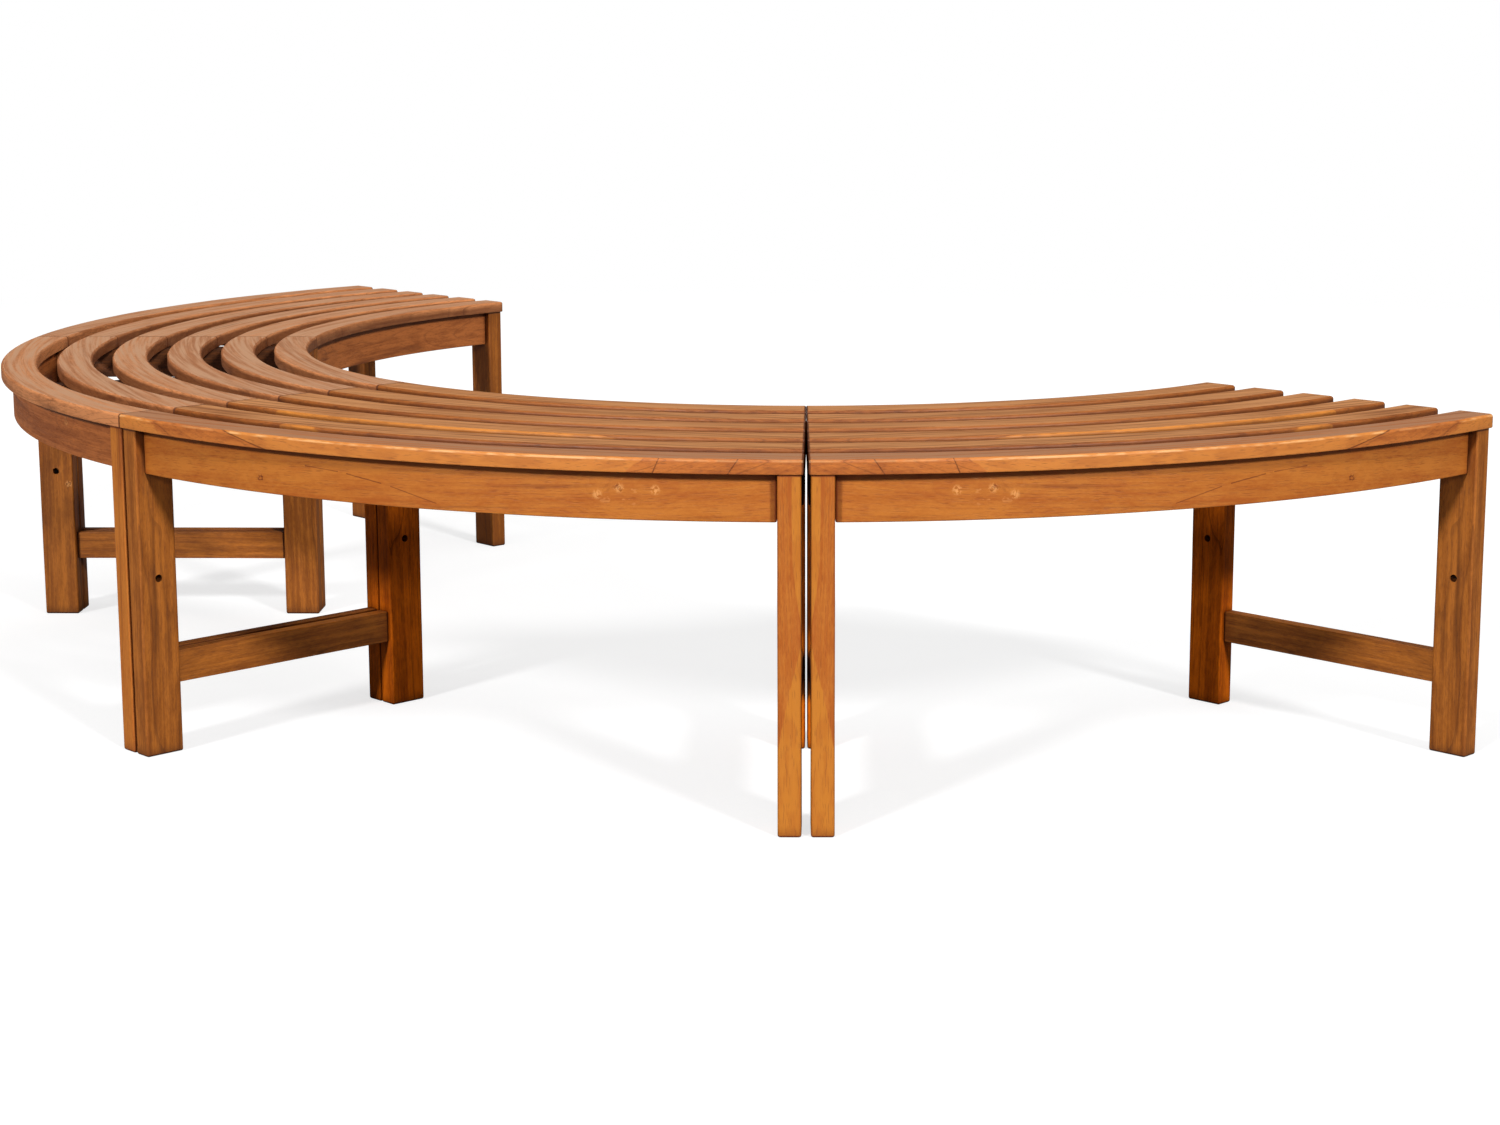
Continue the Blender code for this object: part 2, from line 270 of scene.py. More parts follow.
def section_place(index):
    """Where a section stands: turned about the ring's axis, the first also about its corner."""
    turn = ((SECTION_COUNT - 1) / 2 - index) * SECTION_ANGLE
    place = Matrix.Translation(RING_CENTRE)
    if index == 0:
        corner = Matrix.Rotation(turn - SECTION_ANGLE / 2, 4, "Z") @ Vector((0, -INNER_RADIUS, 0))
        opened = Matrix.Rotation(OPEN_SEAM_ANGLE, 4, "Z")
        place = place @ Matrix.Translation(corner) @ opened @ Matrix.Translation(-corner)
    return place @ Matrix.Rotation(turn, 4, "Z")


def end_frame_place(side, radius, offset):
    """Where a piece of an end frame stands in its section: side is -1 for left and 1 for right."""
    turn = Matrix.Rotation(side * SECTION_ANGLE / 2, 4, "Z")
    return turn @ Matrix.Translation((-side * offset, -radius, 0))


print("slat pitch", round(SLAT_PITCH, 4))

# %% [markdown]
# Boards. Every piece is a board with eased edges. A curved one could be bent from a straight bar
# with a modifier, but spinning its profile about the ring's axis gives exact arcs and keeps the
# ends square to the seam. The corners are rounded with a bevel, as a router does it: 4 mm along
# the top of the slats, and a light arris everywhere else. The slats' ends get no more than that,
# so that two of them meet in one thin line.

# %% Curved boards
ARC_STEPS = 72
TOP_ROUND = 0.004
TOP_ROUND_STEPS = 5
SLAT_ARRIS, SLAT_END_ARRIS, APRON_ARRIS, BAR_ARRIS = 0.0015, 0.002, 0.002, 0.0015
ARRIS_STEPS = 2
CORNER_ANGLE = math.radians(60)
SAME_PLACE = 0.0003  # points nearer than this count as level, or as equally far from the axis


def corners_of(bm):
    return [edge for edge in bm.edges if edge.calc_face_angle(0.0) > CORNER_ANGLE]


def ease(bm, edges, width, steps):
    bmesh.ops.bevel(bm, geom=edges, offset=width, segments=steps, profile=0.5, affect="EDGES",
                    clamp_overlap=True)


def runs_along(edge):
    """True for an edge that follows the arc, which is level and keeps its distance from the axis."""
    start, end = (vert.co for vert in edge.verts)
    return abs(start.z - end.z) < SAME_PLACE and abs(start.xy.length - end.xy.length) < SAME_PLACE


def half_sweep_at(radius, end_offset):
    """Half the angle of an arc whose ends stand a little way back from the section's two sides."""
    return SECTION_ANGLE / 2 - math.asin(end_offset / radius)


def spun_bar(inside, outside, bottom, top, end_offset):
    """A square-edged bar on an arc, with a row of points half way up its sides."""
    bm = bmesh.new()
    half_sweep = half_sweep_at(outside, end_offset)
    start = Matrix.Rotation(-half_sweep, 3, "Z")
    half_way = (bottom + top) / 2
    outline = [(inside, bottom), (outside, bottom), (outside, half_way), (outside, top), (inside, top),
               (inside, half_way)]
    profile = bm.faces.new([bm.verts.new(start @ Vector((0, -r, z))) for r, z in outline])
    bmesh.ops.spin(bm, geom=[profile, *profile.edges, *profile.verts], angle=2 * half_sweep,
                   steps=ARC_STEPS, axis=(0, 0, 1), cent=(0, 0, 0))
    for vert in bm.verts:
        radius = vert.co.xy.length
        angle = math.atan2(vert.co.x, -vert.co.y) * half_sweep_at(radius, end_offset) / half_sweep
        vert.co.x = radius * math.sin(angle)
        vert.co.y = -radius * math.cos(angle)
    return bm


def slat_board(number):
    outside = OUTER_RADIUS - (number - 1) * SLAT_PITCH
    bm = spun_bar(outside - SLAT_WIDTH, outside, SLAT_BOTTOM, SEAT_HEIGHT, -SEAM_OVERLAP)
    middle = (SLAT_BOTTOM + SEAT_HEIGHT) / 2
    top_edges = [e for e in corners_of(bm) if runs_along(e) and e.verts[0].co.z > middle]
    ease(bm, top_edges, TOP_ROUND, TOP_ROUND_STEPS)
    ease(bm, [e for e in corners_of(bm) if runs_along(e)], SLAT_ARRIS, ARRIS_STEPS)
    ease(bm, corners_of(bm), SLAT_END_ARRIS, ARRIS_STEPS)
    return bm


def apron_board(inside, outside, end_offset):
    bm = spun_bar(inside, outside, FRAME_TOP - APRON_HEIGHT, FRAME_TOP, end_offset)
    ease(bm, corners_of(bm), APRON_ARRIS, ARRIS_STEPS)
    return bm


bm = slat_board(1)
print("outer slat:", len(bm.verts), "vertices")
bm.free()

# %% [markdown]
# Straight pieces: legs, end rails, stretchers and bearers. They are cut into short lengths first,
# so that the hand-worked unevenness of the next step has something to move. A leg's top stays
# square where it meets the seat, and its foot is eased, which keeps it from splintering. An end
# rail is let into the inner leg and stands flush with the slat ends. Two neighbouring rails meet
# there edge to edge, and that keeps the light below the seat out of the open seam.

# %% Straight boards
PIECE_LENGTH = 0.02
LEG_EDGE_STEPS = 3


def straight_board(size_x, size_y, bottom, top, axis):
    """A board in short lengths along one axis: 0 is X, 1 is Y and 2 is Z."""
    bm = bmesh.new()
    bmesh.ops.create_cube(bm, size=1.0)
    size = Vector((size_x, size_y, top - bottom))
    bmesh.ops.scale(bm, vec=size, verts=bm.verts)
    bmesh.ops.translate(bm, vec=(0, 0, (top + bottom) / 2), verts=bm.verts)
    along = [e for e in bm.edges if abs((e.verts[1].co - e.verts[0].co)[axis]) > size[axis] / 2]
    bmesh.ops.subdivide_edges(bm, edges=along, cuts=round(size[axis] / PIECE_LENGTH), use_grid_fill=True)
    return bm


def leg_board():
    bm = straight_board(LEG_THICKNESS, LEG_WIDTH, 0, FRAME_TOP, 2)
    eased = [e for e in corners_of(bm) if min(v.co.z for v in e.verts) < FRAME_TOP - SAME_PLACE]
    ease(bm, eased, LEG_EDGE, LEG_EDGE_STEPS)
    return bm


def cross_piece(width, height, top, span):
    """A level piece along Y, between two distances from the ring's axis."""
    bm = straight_board(width, span[1] - span[0] - 2 * FIT_GAP, top - height, top, 1)
    ease(bm, corners_of(bm), BAR_ARRIS, ARRIS_STEPS)
    return bm


def end_rail_board():
    return cross_piece(RAIL_THICKNESS, RAIL_HEIGHT, FRAME_TOP, RAIL_SPAN)


def stretcher_board():
    return cross_piece(STRETCHER_THICKNESS, STRETCHER_HEIGHT, STRETCHER_TOP, LEG_SPAN)


def bearer_board():
    return cross_piece(BEARER_WIDTH, BEARER_HEIGHT, FRAME_TOP, BEARER_SPAN)


bm = leg_board()
print("leg:", len(bm.verts), "vertices")
bm.free()

# %% [markdown]
# Each leg has a bolt hole through its wide faces, with which neighbouring sections are joined. A
# drill leaves a clean round hole, so it is cut with a Boolean from a round cutter, and its rim is
# left sharp.

# %% Bolt holes
HOLE_SIDES = 48


def bolt_hole_cutter():
    bm = bmesh.new()
    radius = BOLT_HOLE_DIAMETER / 2
    bmesh.ops.create_cone(bm, cap_ends=True, segments=HOLE_SIDES, radius1=radius, radius2=radius,
                          depth=2 * LEG_THICKNESS)
    bmesh.ops.rotate(bm, matrix=Matrix.Rotation(math.pi / 2, 3, "Y"), verts=bm.verts)
    bmesh.ops.translate(bm, vec=(0, 0, BOLT_HOLE_HEIGHT), verts=bm.verts)
    mesh = bpy.data.meshes.new("drill")
    bm.to_mesh(mesh)
    bm.free()
    drill = bpy.data.objects.new("drill", mesh)
    bpy.context.scene.collection.objects.link(drill)
    return drill


def drilled(bm):
    """The same board with a bolt hole through it."""
    mesh = bpy.data.meshes.new("undrilled")
    bm.to_mesh(mesh)
    blank = bpy.data.objects.new("undrilled", mesh)
    bpy.context.scene.collection.objects.link(blank)
    drill = bolt_hole_cutter()
    boolean = blank.modifiers.new("bolt_hole", "BOOLEAN")
    boolean.operation = "DIFFERENCE"
    boolean.object = drill
    bpy.context.view_layer.update()
    result = bpy.data.meshes.new_from_object(blank.evaluated_get(bpy.context.evaluated_depsgraph_get()))
    bm.clear()
    bm.from_mesh(result)
    for helper in (blank, drill):
        bpy.data.objects.remove(helper, do_unlink=True)
    for used in (mesh, result):
        bpy.data.meshes.remove(used)
    return bm


print("bolt hole:", BOLT_HOLE_DIAMETER, "m wide,", HOLE_SIDES, "sides")

# %% [markdown]
# No board is dead straight after the belt sander. A slow wave of about two tenths of a millimetre
# along every face breaks up the highlights on the edges, which otherwise look drawn with a ruler.
# A displace modifier would need a texture for each wave, so the points are moved here instead.

# %% Hand-worked unevenness
SLOW_WAVE = (7.0, 0.00022)  # waves in a metre, and their height
QUICK_WAVE = (35.0, 0.00006)
DRIFT = (7.13, 3.71, 5.39)  # how far the waves of two boards lie apart


def work_by_hand(bm, seed):
    drift = Vector([seed * step for step in DRIFT])
    bm.normal_update()
    moves = []
    for vert in bm.verts:
        height = sum(size * noise.noise(vert.co * waves + drift) for waves, size in (SLOW_WAVE, QUICK_WAVE))
        moves.append(vert.normal * height)
    for vert, move in zip(bm.verts, moves):
        vert.co += move


print("deepest wave", round(SLOW_WAVE[1] + QUICK_WAVE[1], 5))

# %% [markdown]
# Grain. A board's figure comes from where it lay in the trunk: near the pith the rings are round
# and wide, towards the bark they are flat and narrow, and the pale sapwood lies outside. A picture
# pasted on each face would break at every edge. Instead each point of a board stores its place in
# the log, x along the trunk and y and z across it from the pith, and the material works from
# that. Curved boards were sawn from straight planks, so their grain runs out at the ends, but a
# sawyer also picks planks with a natural sweep: follow says how much of the curve the grain keeps.

# %% Place each board in its log
def points_of(mesh):
    points = np.empty(len(mesh.vertices) * 3, np.float32)
    mesh.vertices.foreach_get("co", points)
    return points.reshape(-1, 3).T


def store(mesh, name, values):
    """Keep one number, or three, at each point of a mesh."""
    kind, field = ("FLOAT_VECTOR", "vector") if values.ndim == 2 else ("FLOAT", "value")
    attribute = mesh.attributes.new(name, kind, "POINT")
    attribute.data.foreach_set(field, values.astype(np.float32).ravel())


def board_measures(mesh, along):
    """Each point's distance along its board, across its thickness and up its face, in metres."""
    x, y, z = points_of(mesh)
    if along == "arc":
        radius = np.hypot(x, y)
        return np.arctan2(x, -y) * radius.max(), radius - radius.mean(), z - (z.min() + z.max()) / 2
    if along == "leg":
        return z, x, y
    return y, x, z - (z.min() + z.max()) / 2


def run_straight(mesh):
    """The first two measures of a curved board, taken along the straight plank it was sawn from."""
    x, y, z = points_of(mesh)
    return x, -y - np.hypot(x, y).mean()


def place_in_log(mesh, along, pith, start, tilt=(0.0, 0.0), follow=1.0):
    """along says what lay along the trunk, an arc, a leg or a cross piece; pith is the pith's place."""
    run, across, rise = board_measures(mesh, along)
    if follow < 1:
        x, y = run_straight(mesh)
        run = x * (1 - follow) + run * follow
        across = y * (1 - follow) + across * follow
    log = np.empty((len(run), 3), np.float32)
    log[:, 0] = run + start
    log[:, 1] = across - pith[0] + tilt[0] * run
    log[:, 2] = rise - pith[1] + tilt[1] * run
    store(mesh, "log_place", log)


print("a board can store its place in the log")

# %% [markdown]
# Teak itself. One tree of nodes serves every board. It starts with patterns: fibres and short
# dark pores along the trunk, slow swings between golden and red-brown, ribbons, specks and now and
# then a dark mineral streak. A picture of wood could give them too, but noise needs no file, never
# repeats and runs through the board from face to end. Each pattern is noise stretched along the
# log, and the table counts its grains to a metre.

# %% Patterns in the wood
PATTERNS = {  # grains to a metre along the trunk and across it, then detail and roughness
    "fibres": (7.0, 330.0, 4.0, 0.6),
    "pores": (60.0, 800.0, 1.0, 0.5),
    "swings": (1.3, 22.0, 3.0, 0.5),
    "streaks": (1.0, 75.0, 3.0, 0.6),
    "ribbons": (4.5, 170.0, 2.0, 0.6),
    "specks": (130.0, 420.0, 2.0, 0.7),
    "mottle": (26.0, 80.0, 3.0, 0.5),
    "mineral": (1.6, 60.0, 2.0, 0.5),
    "flecks": (70.0, 120.0, 2.0, 0.5),
}
USUAL_NOISE = (0.3, 0.7)  # nearly all values of a noise lie between these


def patterns_in(group, place):
    return {name: noise_at(group, place, (along, across, across), detail, roughness).outputs[0]
            for name, (along, across, detail, roughness) in PATTERNS.items()}


def push(group, pattern, strength):
    """A pattern as a push down or up, half its strength each way."""
    return grade(group, pattern, *USUAL_NOISE, -strength / 2, strength / 2)


def product(group, *values):
    result = values[0]
    for value in values[1:]:
        result = calc(group, "MULTIPLY", result, value)
    return result


def band(group, value, begin, full, still_full, end):
    """1 inside a band of values and 0 outside it, with soft edges."""
    return product(group, grade(group, value, begin, full), grade(group, value, still_full, end, 1.0, 0.0))


def mark(group, name, output="Fac"):
    """A value that each board stores at its points."""
    return add_node(group, "ShaderNodeAttribute", attribute_name=name).outputs[output]


print("patterns:", ", ".join(PATTERNS))

# %% [markdown]
# Growth rings. A ring is a distance from the pith. The pith wanders along the trunk, so slow
# noise moves it, and the rings wander with it. Good years make wide rings and dry years narrow
# ones, and each year starts with a thin dark line. The rings could be a wave texture, but
# counting the years gives every ring a width and a darkness of its own.

# %% Growth rings
PITH_WAVES, PITH_WANDER = (2.2, 8.0, 8.0), 0.030
RINGS_PER_METRE = 270.0
WEATHER = (45.0, 3.0)  # its changes to a metre, and the rings that they are worth
LINE_END, LATE_START = 0.22, 0.2  # as shares of a year
LINE_LUCK = (0.1, 1.0, 0.25, 1.0)  # a year's luck from bad to good, and the darkness of its line


def distance_from_pith(group, place):
    wander = noise_at(group, place, PITH_WAVES, detail=3.0).outputs["Color"]
    wander = vector_calc(group, "SUBTRACT", wander, (0.5, 0.5, 0.5))
    wander = vector_calc(group, "MULTIPLY", wander, (0.0, PITH_WANDER, PITH_WANDER))
    moved = vector_calc(group, "ADD", place, wander)
    sideways = vector_calc(group, "MULTIPLY", moved, (0.0, 1.0, 1.0))
    return add_node(group, "ShaderNodeVectorMath", {0: sideways}, operation="LENGTH").outputs["Value"]


def growth_rings(group, across):
    """The dark line that starts each year, and how far the year has gone into its late wood."""
    weather = add_node(group, "ShaderNodeTexNoise",
                       {"W": calc(group, "MULTIPLY", across, WEATHER[0]), "Scale": 1.0, "Detail": 2.0},
                       noise_dimensions="1D").outputs[0]
    ring = calc(group, "ADD", calc(group, "MULTIPLY", across, RINGS_PER_METRE),
                calc(group, "MULTIPLY", weather, WEATHER[1]))
    year = calc(group, "FLOOR", ring)
    phase = calc(group, "FRACT", ring)
    luck = add_node(group, "ShaderNodeTexWhiteNoise", {"W": year}, noise_dimensions="1D").outputs["Value"]
    line = product(group, grade(group, phase, 0.0, LINE_END, 1.0, 0.0), grade(group, luck, *LINE_LUCK))
    return line, grade(group, phase, LATE_START, 1.0)


print("rings to a metre:", RINGS_PER_METRE)

# %% [markdown]
# Knots. A branch runs out from the pith along the log's Y and lifts the rings over it. Where a
# board cuts through it, it shows as a dark rim, a pale ragged eye, or both, with pale flecks round
# it. A cell pattern would scatter knots over every board, but the photograph shows one small knot
# and a group of pale eyes on the front apron, so their places are listed.

# %% Knots
KNOTS = (  # x and z in the log, then how strong its dark rim, pale flecks and pale eye are
    (0.0, 0.0, 0.95, 0.1, 0.0),
    (0.4654, -0.0109, 0.0, 0.0, 0.9),
    (0.4915, -0.0040, 0.5, 0.6, 0.9),
    (0.5345, -0.0070, 0.0, 0.0, 1.0),
    (1.0, 0.0, 0.5, 0.0, 0.9),
)
KNOT_LIFT, KNOT_REACH = 0.006, 0.05  # how far the rings are lifted, and how far round the branch
KNOT_RIM = (0.0010, 0.0024, 0.0026, 0.0044)  # where the rim starts, is full and ends
KNOT_EYE = (0.0030, 0.0080)
KNOT_GRAINS, KNOT_WOBBLE, KNOT_RAGS = (240.0, 240.0, 240.0), 0.0032, (0.42, 0.54)
BRANCH_START = (0.0, 0.02)  # a branch grows out of the pith over this distance


def distance_in_plane(group, parts, station, height):
    """Distance from a branch's middle line, seen from the bark."""
    along = calc(group, "SUBTRACT", parts.outputs[0], station)
    above = calc(group, "SUBTRACT", parts.outputs[2], height)
    return calc(group, "SQRT", calc(group, "ADD", product(group, along, along), product(group, above, above)))


def knots_in(group, place, across):
    """The distance from the pith with its lifts, and the knots' rims, flecked areas and eyes."""
    parts = add_node(group, "ShaderNodeSeparateXYZ", {0: place})
    outward = grade(group, parts.outputs[1], *BRANCH_START)
    grains = noise_at(group, place, KNOT_GRAINS).outputs[0]
    wobble = push(group, grains, KNOT_WOBBLE)
    ragged = grade(group, grains, *KNOT_RAGS)
    rims, flecked, eyes = 0.0, 0.0, 0.0
    for station, height, rim_share, fleck_share, eye_share in KNOTS:
        reach = calc(group, "ADD", distance_in_plane(group, parts, station, height), wobble)
        near = product(group, grade(group, reach, 0.0, KNOT_REACH, 1.0, 0.0), outward)
        across = calc(group, "SUBTRACT", across, product(group, near, KNOT_LIFT))
        rim = product(group, band(group, reach, *KNOT_RIM), outward, rim_share)
        eye = product(group, grade(group, reach, *KNOT_EYE, eye_share, 0.0), outward, ragged)
        rims = calc(group, "MAXIMUM", rims, rim)
        flecked = calc(group, "MAXIMUM", flecked, product(group, near, fleck_share))
        eyes = calc(group, "MAXIMUM", eyes, eye)
    return across, rims, flecked, eyes


print("knots in the log:", len(KNOTS))

# %% [markdown]
# Colour. Depth runs from 0, the palest heartwood, to 1, the deepest, and every pattern pushes it
# a little. The sapwood outside has a colour of its own. One colour ramp would do for one finish,
# but the colours are inputs here, and so are five shares that say how strong the ring lines, the
# streaks, the wear of the tops with its painted sheen, the painted shade on the sides and the
# painted highlight on the rim are, so that all finishes share one tree.

# %% Colour of the wood
LOG_COLOURS = ("Pale", "Deep", "Line", "Sapwood", "Worn Top Sheen")
LOG_SHARES = ("Line Strength", "Streaks", "Top Wear And Sheen", "Side Shade", "Painted Rim Highlight")
DEPTH_PUSHES = {"swings": 0.60, "mottle": 0.45, "fibres": 0.35, "specks": 0.35}
STREAK_PUSHES = {"streaks": 0.60, "ribbons": 0.55}
LATE_WOOD = 0.18
MINERAL_RANGE, MINERAL_SHARE = (0.62, 0.74), 0.6
PORE_RANGE, PORE_SHARE = (0.58, 0.70), 0.30
FLECK_RANGE, FLECK_SHARE, EYE_SHARE = (0.60, 0.66), 0.8, 0.9
SAP_LINES, SAP_RIBBONS, SAP_MOTTLE = 0.25, (0.40, 0.70, 0.0, 0.40), (0.45, 0.65, 0.0, 0.35)
SAP_EDGE = (-0.0004, 0.0008)
FRAY_RANGE, SAP_FRAY = (0.2, 0.8), 0.0015


def srgb(red, green, blue):
    """A colour written as it looks on a screen, 0 to 255, as the linear light that a shader needs."""
    def linear(value):
        value /= 255
        return value / 12.92 if value <= 0.04045 else ((value + 0.055) / 1.055) ** 2.4
    return (linear(red), linear(green), linear(blue), 1.0)


FLECK_COLOUR = srgb(236, 164, 92)


def heartwood(group, wood, patterns, line, late):
    depth = mark(group, "tone")
    for name, strength in DEPTH_PUSHES.items():
        depth = calc(group, "ADD", depth, push(group, patterns[name], strength))
    for name, strength in STREAK_PUSHES.items():
        depth = calc(group, "ADD", depth, product(group, push(group, patterns[name], strength),
                                                  wood.outputs["Streaks"]))
    depth = calc(group, "ADD", depth, product(group, late, LATE_WOOD))
    colour = blend_colour(group, depth, wood.outputs["Pale"], wood.outputs["Deep"])
    colour = blend_colour(group, product(group, line, wood.outputs["Line Strength"]), colour,
                          wood.outputs["Line"])
    mineral = grade(group, patterns["mineral"], *MINERAL_RANGE)
    return blend_colour(group, product(group, mineral, MINERAL_SHARE), colour, wood.outputs["Line"])


def sapwood(group, wood, patterns, line):
    colour = blend_colour(group, product(group, line, SAP_LINES), wood.outputs["Sapwood"],
                          wood.outputs["Deep"])
    ribbons = grade(group, patterns["ribbons"], *SAP_RIBBONS)
    colour = blend_colour(group, ribbons, colour, wood.outputs["Pale"])
    return blend_colour(group, grade(group, patterns["mottle"], *SAP_MOTTLE), colour, wood.outputs["Deep"])


def sapwood_share(group, patterns, in_heartwood=0.0):
    """1 in the sapwood, with an edge that ribbons fray."""
    fray = grade(group, patterns["ribbons"], *FRAY_RANGE, -SAP_FRAY, SAP_FRAY)
    edge = calc(group, "ADD", mark(group, "sapwood"), fray)
    return grade(group, edge, *SAP_EDGE, in_heartwood, 1.0)


print("inputs of the log:", ", ".join(LOG_COLOURS + LOG_SHARES))

# %% [markdown]
# Wear, and painted light and shade. Checks are fine cracks that have gone dark. End grain drinks
# more oil than a face and dries dark. The upward faces are paler, in streaks: partly worn by sun and
# use, partly a painted sheen. The rim of the outer slat gets a painted highlight. The sides in the
# gaps get painted shade that deepens below the top, and the corners where two boards meet get
# painted shade. All this could be painted by hand, but the slope of the surface, the distances
# stored on each board and an ambient occlusion node find these places by themselves.

# %% Wear, painted sheen, highlight and shade
CHECK_EDGE, CHECK_SHARE = (0.0002, 0.0010), 0.8
CHECK_WOBBLE = 0.0006
END_DEPTH, END_SHARE = (0.0016, 0.0030), 0.85
# Upward faces turn paler, in streaks: partly wear, partly a painted sheen.
UPWARD = (0.90, 0.99)
STREAKY_WEAR_AND_SHEEN = (1.8, 0.2)
# Painted shade on the sides of the slats deepens over these depths below the top.
SIDE_SHADE_DEPTH = (0.0010, 0.0060)
# Painted highlight: a bright band just below the top of the outer slat's rim, in patches.
HIGHLIGHT_RIM_DEPTH, HIGHLIGHT_RIM_PATCHES = (0.0006, 0.0016, 0.0028, 0.0042), (0.44, 0.58, 0.05, 1.0)
HIGHLIGHT_IN_HEARTWOOD = 0.35
RIM_HIGHLIGHT_COLOUR = srgb(246, 186, 120)
# Painted shade: an ambient occlusion node darkens the colour in corners and narrow gaps.
CORNER_REACH, CORNER_SAMPLES = 0.025, 8
CORNER_RANGE, CORNER_SHADE = (0.30, 0.92), 0.85


def draw_checks(group, wood, patterns, colour):
    """A dark line where the nearest of a board's three checks passes through zero."""
    checks = vector_calc(group, "ABSOLUTE", mark(group, "checks", "Vector"), (0, 0, 0))
    checks = add_node(group, "ShaderNodeSeparateXYZ", {0: checks}).outputs
    nearest = calc(group, "MINIMUM", checks[0], calc(group, "MINIMUM", checks[1], checks[2]))
    nearest = calc(group, "ADD", nearest, push(group, patterns["fibres"], CHECK_WOBBLE))
    return blend_colour(group, grade(group, nearest, *CHECK_EDGE, CHECK_SHARE, 0.0), colour,
                        wood.outputs["Line"])


def end_grain_and_top_sheen(group, wood, patterns, colour):
    """Dark end grain, and paler upward faces, partly worn and partly a painted sheen."""
    end = mark(group, "end")
    colour = blend_colour(group, grade(group, end, *END_DEPTH, END_SHARE, 0.0), colour, wood.outputs["Line"])
    normal = add_node(group, "ShaderNodeNewGeometry").outputs["Normal"]
    upward = grade(group, add_node(group, "ShaderNodeSeparateXYZ", {0: normal}).outputs[2], *UPWARD)
    # Wear with a painted sheen: the upward faces blend towards the paler top colour.
    worn = product(group, upward, grade(group, patterns["ribbons"], *USUAL_NOISE, *STREAKY_WEAR_AND_SHEEN),
                   grade(group, end, *END_DEPTH), wood.outputs["Top Wear And Sheen"])
    return blend_colour(group, worn, colour, wood.outputs["Worn Top Sheen"])


def side_shade_and_rim_highlight(group, wood, patterns, colour):
    """Painted shade on the sides, and a painted highlight on the rim, most of all in the sapwood."""
    below = mark(group, "below_top")
    # Painted shade: the sides go darker the deeper they lie below the top, in the gaps between slats.
    shading = product(group, grade(group, below, *SIDE_SHADE_DEPTH), wood.outputs["Side Shade"])
    colour = blend_colour(group, shading, colour, wood.outputs["Line"])
    rim = product(group, band(group, below, *HIGHLIGHT_RIM_DEPTH), grade(group, patterns["mottle"], *HIGHLIGHT_RIM_PATCHES),
                  sapwood_share(group, patterns, HIGHLIGHT_IN_HEARTWOOD), wood.outputs["Painted Rim Highlight"])
    return blend_colour(group, rim, colour, RIM_HIGHLIGHT_COLOUR)


def painted_corner_shade(group, wood, colour):
    corners = add_node(group, "ShaderNodeAmbientOcclusion", {"Distance": CORNER_REACH},
                       samples=CORNER_SAMPLES)
    corners = grade(group, corners.outputs["AO"], *CORNER_RANGE, CORNER_SHADE, 0.0)
    return blend_colour(group, corners, colour, wood.outputs["Line"])


# How far the painted corner shade reaches.
print("corner dirt reaches", CORNER_REACH, "m")

# %% [markdown]
# The log as a whole. The steps above are laid over one another in the order in which they come
# to real wood: it grows, cracks, is oiled and wears, and the painted sheen, highlight and shade go
# on with the wear, at the end. Each finish could repeat these nodes, but a group holds them once.
# Pores and ring lines also sink a little below the surface, and the finish uses that height for
# its bump.

# %% The teak log
SOCKETS = (("INPUT", "Color", LOG_COLOURS), ("INPUT", "Float", LOG_SHARES),
           ("OUTPUT", "Color", ("Colour",)), ("OUTPUT", "Float", ("Roughness", "Height")))
ROUGHNESS = (0.44, 0.56)
PORE_ROUGHNESS, PORE_HOLLOW, LINE_HOLLOW = 0.1, 0.8, 0.25


def teak_log():
    group = bpy.data.node_groups.new("teak_log", "ShaderNodeTree")
    for in_out, kind, names in SOCKETS:
        for name in names:
            group.interface.new_socket(name, in_out=in_out, socket_type=f"NodeSocket{kind}")
    wood = add_node(group, "NodeGroupInput")
    place = mark(group, "log_place", "Vector")
    patterns = patterns_in(group, place)
    pores = grade(group, patterns["pores"], *PORE_RANGE)

    across, rims, flecked, eyes = knots_in(group, place, distance_from_pith(group, place))
    line, late = growth_rings(group, across)
    colour = blend_colour(group, sapwood_share(group, patterns), heartwood(group, wood, patterns, line, late),
                          sapwood(group, wood, patterns, line))
    flecks = product(group, grade(group, patterns["flecks"], *FLECK_RANGE), flecked, FLECK_SHARE)
    colour = blend_colour(group, flecks, colour, FLECK_COLOUR)
    colour = blend_colour(group, product(group, pores, PORE_SHARE), colour, wood.outputs["Line"])
    colour = blend_colour(group, product(group, eyes, EYE_SHARE), colour, FLECK_COLOUR)
    colour = blend_colour(group, rims, colour, wood.outputs["Line"])
    colour = draw_checks(group, wood, patterns, colour)
    colour = end_grain_and_top_sheen(group, wood, patterns, colour)
    colour = side_shade_and_rim_highlight(group, wood, patterns, colour)
    colour = painted_corner_shade(group, wood, colour)

    rough = calc(group, "ADD", grade(group, patterns["fibres"], *USUAL_NOISE, *ROUGHNESS),
                 product(group, pores, PORE_ROUGHNESS))
    height = calc(group, "SUBTRACT", patterns["fibres"], product(group, pores, PORE_HOLLOW))
    height = calc(group, "SUBTRACT", height, product(group, line, LINE_HOLLOW))
    add_node(group, "NodeGroupOutput", {"Colour": colour, "Roughness": rough, "Height": height})
    return group


TEAK_LOG = teak_log()
print("teak log:", len(TEAK_LOG.nodes), "nodes")
